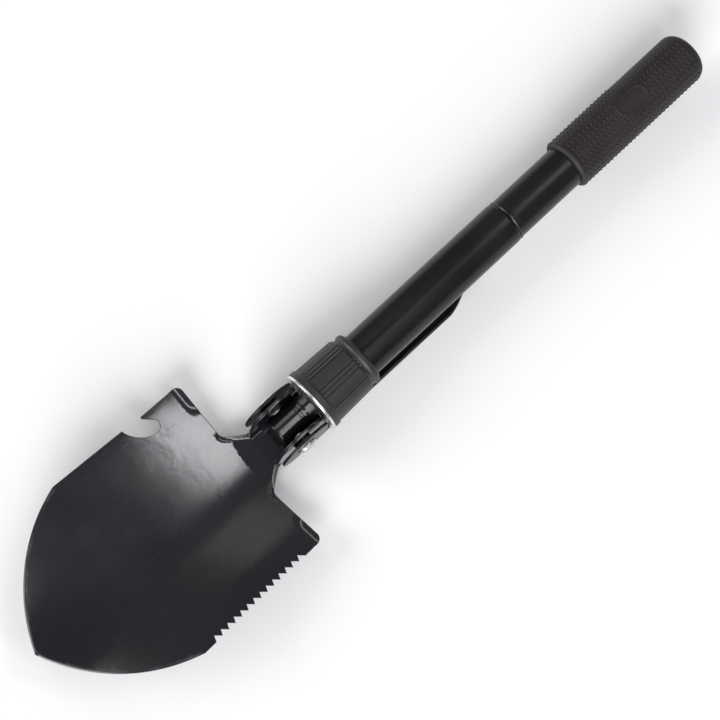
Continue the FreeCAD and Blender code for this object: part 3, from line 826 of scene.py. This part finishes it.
def pick_section(x):
    """Closed section of the channel in (y, z), rounded where the web turns up into the walls."""
    sway = -PICK_SWAY * ease(WEB_X + 6.0, WEB_X + 34.0, x)
    half = pick_half(x) + sway
    top = pick_top(x)
    wall = PICK_OUTER - PICK_INNER
    turn = min(1.7, half * 0.8)
    inner_turn = max(0.15, turn - wall)
    inner_half = max(PICK_LIP, half - wall)
    right = []
    for k in range(6):
        angle = math.radians(18 * k)
        right.append((half - turn + turn * math.sin(angle),
                      PICK_LOW + turn - turn * math.cos(angle)))
    right += [(half, top - PICK_LIP), (half - PICK_LIP, top),
              (max(0.3, half - wall + PICK_LIP), top), (inner_half, top - PICK_LIP)]
    for k in range(4):
        angle = math.radians(90 - 30 * k)
        right.append((max(0.2, inner_half - inner_turn + inner_turn * math.sin(angle)),
                      PICK_LOW + PICK_WEB + inner_turn - inner_turn * math.cos(angle)))
    left = [(-y, z) for y, z in reversed(right)]
    return [(y + sway, z) for y, z in right + left]


def pick_channel():
    """The channel as points, faces, wear and facing, like sheet_shell's."""
    stations = [lerp(WEB_X, TAPER_X, k / 36) for k in range(37)]
    stations += [lerp(TAPER_X, PICK_TIP_X, k / 18) for k in range(1, 19)]
    points, faces, rings = [], [], []
    for x in stations:
        section = [(x, y, z) for y, z in pick_section(x)]
        rings.append(range(len(points), len(points) + len(section)))
        points += section
    count = len(rings[0])
    for a, b in zip(rings, rings[1:]):
        for k in range(count):
            j = (k + 1) % count
            faces.append((a[k], b[k], b[j], a[j]))
    for ring, flip in ((rings[0], False), (rings[-1], True)):
        for k in range(count // 2 - 1):
            face = (ring[k], ring[k + 1], ring[count - 2 - k], ring[count - 1 - k])
            faces.append(face[::-1] if flip else face)
    return points, faces, [0.0] * len(points), [None] * len(points)


pick_mesh = pick_channel()
flange_plan = hinge_disc(-half_flat, FLANGE_END, (0, 90)) + [
    (WEB_X - 3.0, PICK_LOW + 2.4), (WEB_X, PICK_LOW + 0.9), (WEB_X + 6.0, PICK_LOW + 1.8),
    (WEB_X + 6.0, PICK_TOP - 0.02), (EAR_FLAT + 1.2, PICK_TOP - 0.02), (EAR_FLAT, PICK_TOP + 1.2),
]
add_plates(pick_mesh, flange_plan, PICK_INNER + FLANGE_INSET, PICK_OUTER - FLANGE_INSET, 2.4, 0.28)
finish_piece("pick_pressing", *pick_mesh[:2], "pick", "pick_paint", pick_paint, "pick",
             50.0, *pick_mesh[2:])

# ---------------- rivet and its rings
SHANK = 2.6
HEAD_INNER = 13.87
rivet_right, rivet_left = (corner.y * 1000 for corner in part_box("rivet"))
rivet = lathe([
    (rivet_right, 0.0, 0), (rivet_right, 2.4, 0.5), (rivet_right + 0.5, 3.7, 0.35),
    (-HEAD_INNER, 3.8, 0.1), (-HEAD_INNER, SHANK, 0), (HEAD_INNER, SHANK, 0),
    (HEAD_INNER, 4.4, 0.1), (HEAD_INNER + 0.45, 4.3, 0.3), (rivet_left - 0.25, 2.9, 0.6),
    (rivet_left, 1.5, 0.6), (rivet_left, 0.0, 0),
], 48, axis="y")
finish_piece("rivet_turned", *rivet, "handle", "rivet_plating", rivet_zinc, "rivet", 50.0)
for kind, steel in (("rivet_washer", rivet_zinc), ("spacer", oiled_steel), ("shim", oiled_steel)):
    for side in ("left", "right"):
        node = kind + "_" + side
        low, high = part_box(node)
        near, far, radius = low.y * 1000, high.y * 1000, (high.z - low.z) * 500
        ring = lathe([
            (near, RIVET_HOLE, 0.05), (near, radius, 0.14),
            (far, radius, 0.14), (far, RIVET_HOLE, 0.05),
        ], 56, axis="y")
        finish_piece(node + "_turned", *ring, "handle", "rivet_plating", steel, node, 50.0)

# ---------------- stud and tubes
THREAD_X = 9.0
THREAD_RADIUS = 8.0
NOSE_RADIUS = 7.25
NOSE_GROOVE = 6.95
TAIL_RADIUS = 9.85
LOWER_BORE = 9.9
UPPER_BORE = 9.6
JOINT_BORE = 6.3
JOINT_THREAD = 6.0
JOINT_FLANGE = 9.55
NOSE_X, TAIL_X = span_x("knuckle")
TUBE_X, JOINT_X = span_x("lower_tube")
UPPER_X, UPPER_END = span_x("upper_tube")
STUD_X, STUD_BACK = span_x("joint_stud")
TUBE_RADIUS = widest("lower_tube")
UPPER_RADIUS = widest("upper_tube")
WASHER_RADIUS = widest("joint_washer")


def helix(start, end, pitch, depth):
    """Radius change of a screw thread cut between two places along the handle."""
    def shape(x, radius, angle):
        if not start < x < end:
            return radius
        turn = (x / pitch - angle / (2 * math.pi)) % 1.0
        groove = 1 - abs(2 * turn - 1)
        fade = ease(start, start + 1.2, x) * ease(end, end - 1.2, x)
        return radius - depth * max(0.0, groove - 0.15) / 0.85 * fade
    return shape


knuckle = lathe([
    (NOSE_X, 0.0, 0), (NOSE_X, 3.2, 0), (NOSE_X + 0.35, 6.2, 0.8), (NOSE_X + 1.1, NOSE_RADIUS, 0.9),
    (6.2, NOSE_RADIUS, 0.12), (6.2, NOSE_GROOVE, 0.08), (7.6, NOSE_GROOVE, 0.08),
    (7.6, NOSE_RADIUS, 0.1), (THREAD_X, NOSE_RADIUS, 0.15), (THREAD_X + 1, THREAD_RADIUS, 0.2),
    (TUBE_X, THREAD_RADIUS, 0.1), (TUBE_X, TAIL_RADIUS, 0.1), (TAIL_X, TAIL_RADIUS, 0.3),
    (TAIL_X, 0.0, 0),
], 96, helix(THREAD_X + 5.6, TUBE_X - 0.5, 2.0, 0.62), 0.28)
finish_piece("knuckle_turned", *knuckle, "handle", "knuckle_paint", knuckle_paint, "knuckle", 32.0)

tube = lathe([
    (TUBE_X, LOWER_BORE, 0), (TUBE_X, TUBE_RADIUS, 0.5), (JOINT_X - 1.3, TUBE_RADIUS, 0.9),
    (JOINT_X, TUBE_RADIUS - 0.62, 0.12), (JOINT_X, LOWER_BORE, 0),
], 128, step=6.0)
finish_piece("lower_tube_drawn", *tube, "handle", "tube_paint", tube_paint, "lower_tube", 32.0)

upper = lathe([
    (UPPER_X, UPPER_BORE, 0), (UPPER_X, UPPER_RADIUS - 0.05, 0.2),
    (UPPER_X + 1.6, UPPER_RADIUS - 0.05, 0.0), (UPPER_X + 2.0, UPPER_RADIUS, 0.1),
    (UPPER_END, UPPER_RADIUS, 0.3), (UPPER_END, UPPER_BORE, 0),
], 128, step=6.0)
finish_piece("upper_tube_drawn", *upper, "rear_handle", "tube_paint", tube_paint, "upper_tube",
             32.0)

washer = lathe([
    (JOINT_X, JOINT_BORE, 0), (JOINT_X, WASHER_RADIUS - 0.5, 0.1),
    (JOINT_X + 0.5, WASHER_RADIUS, 0.12), (UPPER_X, WASHER_RADIUS, 0.12), (UPPER_X, JOINT_BORE, 0),
], 128)
finish_piece("joint_washer_turned", *washer, "joint_ring", "joint_steel", joint_steel,
             "joint_washer", 40.0)

stud = lathe([
    (STUD_X, 0.0, 0), (STUD_X, JOINT_THREAD - 1, 0.2), (STUD_X + 1, JOINT_THREAD, 0.1),
    (UPPER_X, JOINT_THREAD, 0), (UPPER_X, JOINT_FLANGE, 0.05), (STUD_BACK, JOINT_FLANGE, 0.2),
    (STUD_BACK, 0.0, 0),
], 72, helix(STUD_X + 0.5, UPPER_X - 0.6, 1.5, 0.45), 0.24)
finish_piece("joint_stud_turned", *stud, "rear_handle", "joint_steel", joint_steel, "joint_stud",
             32.0)

# ---------------- collar
RING_X, RING_END = span_x("collar_ring")
RING_RADIUS = widest("collar_ring")
RING_BORE = 8.3
SHELL_X, SHELL_END = span_x("collar_shell")
SHELL_RADIUS = widest("collar_shell")
SHELL_BORE = 11.4
NUT_X = 17.0
NUT_BORE = 10.4
COLLAR_OUTSIDE = 12.0
RIB_START = 19.0
RIB_END = 40.2
GROUP_FIRST = 35.0
GROUP_STEP = 45.0
GROOVE_PITCH = 8.6
GROOVE_HALF = 2.2
GROOVE_DEPTH = 0.75

ring = lathe([
    (RING_X, RING_BORE, 0.05), (RING_X, RING_RADIUS, 0.32), (RING_END, RING_RADIUS, 0.1),
    (RING_END, RING_BORE, 0),
], 144)
finish_piece("collar_ring_turned", *ring, "lock_ring", "ring_plating", ring_plate, "collar_ring",
             40.0)


def collar_groove(angle):
    """Depth share of the lengthwise grooves at an angle from the top towards +Y."""
    turned = (math.degrees(angle) - GROUP_FIRST + GROUP_STEP / 2) % GROUP_STEP - GROUP_STEP / 2
    deepest = 0.0
    for k in (-1, 0, 1):
        away = abs(turned - k * GROOVE_PITCH)
        deepest = max(deepest, 1 - ease(0.55 * GROOVE_HALF, 1.35 * GROOVE_HALF, away))
    return deepest


def groove_reach(x):
    """How far the grooves have run in at a place along the collar, from 0 to 1."""
    return ease(RIB_START + 0.2, RIB_START + 1.4, x) * ease(RIB_END + 1.0, RIB_END - 0.2, x)


def collar_shape(x, radius, angle):
    """Radius of the collar with its grooves cut; its inside stays round."""
    if radius < COLLAR_OUTSIDE:
        return radius
    return radius - GROOVE_DEPTH * groove_reach(x) * collar_groove(angle)


def collar_painted_light(points):
    """Painted highlight along the grooves' edges above 0, painted shade in their floors below."""
    wear_and_painted_light = []
    for x, y, z in points:
        outside = math.hypot(y, z) > COLLAR_OUTSIDE
        depth = groove_reach(x) * collar_groove(math.atan2(y, z)) if outside else 0.0
        wear_and_painted_light.append(4 * depth * (1 - depth) - max(0.0, 2 * depth - 1))
    return wear_and_painted_light


shell = lathe([
    (SHELL_X, NUT_BORE, 0), (SHELL_X, SHELL_RADIUS, 0.35),
    (SHELL_X + 2.9, SHELL_RADIUS - 0.05, 0.5), (RIB_START, 15.1, 0.35), (RIB_END - 0.6, 14.4, 0.5),
    (RIB_END + 0.8, 13.25, 0.5), (SHELL_END - 3.6, 13.2, 0.7), (SHELL_END - 2.7, 13.9, 0.7),
    (SHELL_END - 0.9, 13.8, 0.8), (SHELL_END, 12.3, 0.6), (SHELL_END, SHELL_BORE, 0),
    (NUT_X, SHELL_BORE, 0), (NUT_X, NUT_BORE, 0),
], 720, collar_shape, 0.9)
# the collar's wear attribute holds painted highlight and painted shade along its grooves
finish_piece("collar_shell_moulded", *shell, "collar", "collar_plastic", collar_plastic,
             "collar_shell", 50.0, collar_painted_light(shell[0]))

# ---------------- grip
GRIP_X, GRIP_END = span_x("grip")
PLUG_END = span_x("end_plug")[1]
GRIP_OUTER = widest("grip")
GRIP_BORE = UPPER_RADIUS + 0.02
GRIP_ROUND = 5.6
DOT_HEIGHT = 0.38
GRIP_BODY = GRIP_OUTER - DOT_HEIGHT
PAD_X = 219.2
PAD_ANGLE = math.radians(0.5)
PAD_LONG = 9.2
PAD_WIDE = 4.9
PAD_POWER = 2.6
PAD_FOOT = -0.3
# rings of the pad as shares of its outline and heights: foot, raised rim and shallow middle
PAD_RINGS = ((1.0, PAD_FOOT), (1.0, 0.12), (0.975, 0.34), (0.915, 0.37), (0.875, 0.14),
             (0.84, 0.06), (0.6, 0.08), (0.3, 0.1))
DOT_ROWS = 24
DOT_PITCH = 2.5
DOT_FIRST = GRIP_X + 4.4
DOT_LAST = 254.9
DOT_RADIUS = 0.74
DOT_SIDES = 8
# rings of a dot as shares of its radius and of its height
DOT_RINGS = ((1.0, -0.15), (1.0, 0.05), (0.72, 0.72), (0.36, 0.94))
# the left side has no dots behind this place, between these degrees from the top
PLAIN_X = GRIP_X + 41.5
PLAIN_FROM = 38
PLAIN_TO = 142


def grip_point(x, angle, height):
    """Point at a height over the grip's body, at an angle from the top towards +Y."""
    radius = GRIP_BODY + height
    return (x, radius * math.sin(angle), radius * math.cos(angle))


def grip_body():
    """The sleeve with its lip in front and its closed round end."""
    profile = [
        (GRIP_X, GRIP_BORE, 0), (GRIP_X, 11.9, 0.5), (GRIP_X + 1.1, GRIP_OUTER - 0.1, 0.6),
        (GRIP_X + 2.2, GRIP_OUTER - 0.1, 0.4), (GRIP_X + 3.2, GRIP_BODY, 0.6),
        (GRIP_END - GRIP_ROUND, GRIP_BODY, 0),
    ]
    for degrees in (15, 30, 45, 60, 75, 90):
        turn = math.radians(degrees)
        profile.append((GRIP_END - GRIP_ROUND + GRIP_ROUND * math.sin(turn),
                        GRIP_BODY - GRIP_ROUND * (1 - math.cos(turn)), 0))
    profile += [
        (GRIP_END - 0.12, 5.2, 0.4), (GRIP_END - 0.3, 4.6, 0.3), (GRIP_END - 0.3, 0.0, 0),
        (PLUG_END, 0.0, 0), (PLUG_END, GRIP_BORE, 0),
    ]
    return lathe(profile, 128, step=3.0)


def dome(x, angle):
    """One low round dot on the grip, closed underneath."""
    rings = []
    for share, level in DOT_RINGS:
        ring = []
        for k in range(DOT_SIDES):
            turn = 2 * math.pi * k / DOT_SIDES
            along = x + DOT_RADIUS * share * math.cos(turn)
            around = angle + DOT_RADIUS * share * math.sin(turn) / GRIP_BODY
            ring.append(grip_point(along, around, DOT_HEIGHT * level))
        rings.append(ring)
    points, faces = ring_shell(rings + [[grip_point(x, angle, DOT_HEIGHT)]], closed=False)
    faces.append(tuple(reversed(range(DOT_SIDES))))
    return points, faces


def on_pad(x, angle, margin):
    """Whether a place on the grip is within a margin of the pad."""
    around = (angle - PAD_ANGLE + math.pi) % (2 * math.pi) - math.pi
    long = abs(x - PAD_X) / (PAD_LONG + margin)
    wide = abs(around) * GRIP_BODY / (PAD_WIDE + margin)
    return long ** PAD_POWER + wide ** PAD_POWER < 1


def pad():
    """Plain oval pad with a thin raised rim, closed underneath."""
    count = 64
    rings = [[grip_point(PAD_X, PAD_ANGLE, PAD_FOOT)]]
    for share, height in PAD_RINGS:
        ring = []
        for k in range(count):
            turn = 2 * math.pi * k / count
            c, s = math.cos(turn), math.sin(turn)
            long = math.copysign(abs(c) ** (2 / PAD_POWER), c) * PAD_LONG * share
            wide = math.copysign(abs(s) ** (2 / PAD_POWER), s) * PAD_WIDE * share
            ring.append(grip_point(PAD_X + long, PAD_ANGLE + wide / GRIP_BODY, height))
        rings.append(ring)
    return ring_shell(rings + [[grip_point(PAD_X, PAD_ANGLE, PAD_RINGS[-1][1])]])


grip = grip_body()
columns = int((DOT_LAST - DOT_FIRST) / DOT_PITCH) + 1
for row in range(DOT_ROWS):
    angle = 2 * math.pi * (row + 0.5) / DOT_ROWS
    for column in range(columns):
        x = DOT_FIRST + column * DOT_PITCH
        plain = x > PLAIN_X and PLAIN_FROM < math.degrees(angle) < PLAIN_TO
        if not plain and not on_pad(x, angle, 1.0):
            add(grip, dome(x, angle))
add(grip, pad())
finish_piece("grip_moulded", *grip, "rear_handle", "grip_rubber", grip_rubber, "grip", 45.0)

# ---------------- pieces kept from the CAD
kept = {
    "stud_pin": inner_steel,
    "joint_socket": inner_steel,
    "collar_nut": inner_steel,
    "end_plug": plug_plastic,
}
for node, material in kept.items():
    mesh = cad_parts[node].data
    if not mesh.materials:
        mesh.materials.append(material)
    for index in range(len(mesh.materials)):
        mesh.materials[index] = material

# ---------------- floor, lights and camera
FLOOR_REACH = 14.0
FLOOR_DROP = -0.0002


def floor_material():
    """Pale matt studio paper."""
    material, nodes, links, shader = new_material("studio_floor", (0.86, 0.86, 0.865), 0.7)
    place = object_place(nodes, links)
    cloud = noise(nodes, links, place, 3.0, 2.0, 0.5)
    links.new(remap(nodes, links, cloud, 0.3, 0.7, 0.66, 0.76), shader.inputs["Roughness"])
    return material


floor_mesh = bpy.data.meshes.new("studio_floor")
floor_corners = [(x * FLOOR_REACH, y * FLOOR_REACH, FLOOR_DROP)
                 for x, y in ((-1, -1), (1, -1), (1, 1), (-1, 1))]
floor_mesh.from_pydata(floor_corners, [], [(0, 1, 2, 3)])
floor_mesh.materials.append(floor_material())
new_object("studio_floor", floor_mesh)

world = bpy.data.worlds.new("studio_world")
bpy.context.scene.world = world
world.use_nodes = True
backdrop = world.node_tree.nodes["Background"]
backdrop.inputs["Color"].default_value = (0.95, 0.96, 1.0, 1.0)
backdrop.inputs["Strength"].default_value = 0.28


def place_object(name, data, right, up, back, spot):
    """Makes an object with these axes in the world at a place."""
    thing = new_object(name, data)
    thing.matrix_world = Matrix((
        (right[0], up[0], back[0], spot[0]),
        (right[1], up[1], back[1], spot[1]),
        (right[2], up[2], back[2], spot[2]),
        (0, 0, 0, 1),
    ))
    return thing


def area_light(name, spot, aim, wide, tall, watts, colour, lengthwise=(0.0, 1.0, 0.0),
               shape="RECTANGLE"):
    """Flat light that faces aim, its long side along a direction."""
    light = bpy.data.lights.new(name, "AREA")
    light.shape = shape
    light.size = wide
    light.size_y = tall
    light.energy = watts
    light.color = colour
    out = (Vector(spot) - Vector(aim)).normalized()
    side = Vector(lengthwise)
    side = (side - out * side.dot(out)).normalized()
    place_object(name, light, side.cross(out), side, out, spot)


VIEW_TILT = math.radians(9.02)
VIEW_SIDE = math.radians(5.73)
VIEW_ROLL = math.radians(42.93)
VIEW_DISTANCE = 0.755
VIEW_LENS = 83.0
LAMP_DISTANCE = 2.5
NOSE_LAMP_DISTANCE = 0.8
SUN_SPREAD = math.radians(40.0)
target = Vector(mm(44.4, -1.1, 0.0))
back = Vector((
    -math.sin(VIEW_TILT) * math.cos(VIEW_SIDE),
    -math.sin(VIEW_SIDE),
    math.cos(VIEW_TILT) * math.cos(VIEW_SIDE),
))
along = (Vector((1, 0, 0)) - back * back.x).normalized()
across = back.cross(along)
right = along * math.cos(VIEW_ROLL) - across * math.sin(VIEW_ROLL)
up = along * math.sin(VIEW_ROLL) + across * math.cos(VIEW_ROLL)
eye = target + back * VIEW_DISTANCE
camera_data = bpy.data.cameras.new("photo_camera")
camera_data.lens = VIEW_LENS
camera_data.sensor_width = 36.0
camera_data.clip_start = 0.01
camera_data.clip_end = 20.0
bpy.context.scene.camera = place_object("photo_camera", camera_data, right, up, back, eye)


def mirror_spot(x, y):
    """Where a light must stand to be mirrored in the blade's face at (x, y), and that point."""
    here = Vector(mm(x, y, blade_top(x, y)))
    normal = sheet_normal(blade_place, x, y, 0.5)
    view = (eye - here).normalized()
    out = normal * (2 * normal.dot(view)) - view
    return here + out * LAMP_DISTANCE, here


def sun_light(name, direction, strength):
    """Wide soft sun that shines from a direction."""
    light = bpy.data.lights.new(name, "SUN")
    light.energy = strength
    light.angle = SUN_SPREAD
    lamp = new_object(name, light)
    lamp.matrix_world = (-Vector(direction)).to_track_quat("-Z", "Y").to_matrix().to_4x4()


# the pale reflection on the left shoulder and the olive one on the right
area_light("shoulder_window", *mirror_spot(-31.0, 22.5), wide=0.12, tall=1.10, watts=5.4,
           colour=(0.98, 0.97, 1.0), shape="ELLIPSE")
area_light("olive_window", *mirror_spot(-44.0, -24.0), wide=0.16, tall=0.50, watts=0.25,
           colour=(1.0, 0.97, 0.78), lengthwise=(-0.194, -0.98, 0.0))
# the two stripes on the knuckle
nose = Vector(mm(1.0, 0.0, 7.0))
area_light("knuckle_window_right", nose + Vector((0.105, -0.48, 0.87)) * NOSE_LAMP_DISTANCE, nose,
           wide=0.05, tall=0.74, watts=1.2, colour=(0.95, 0.95, 1.0))
area_light("knuckle_window_left", nose + Vector((0.105, 0.62, 0.77)) * NOSE_LAMP_DISTANCE, nose,
           wide=0.05, tall=0.60, watts=0.38, colour=(0.97, 1.0, 0.84))
sun_light("left_sun", (-0.80, -0.55, 0.50), 3.2)
sun_light("right_sun", (-0.75, 0.75, 0.45), 1.8)
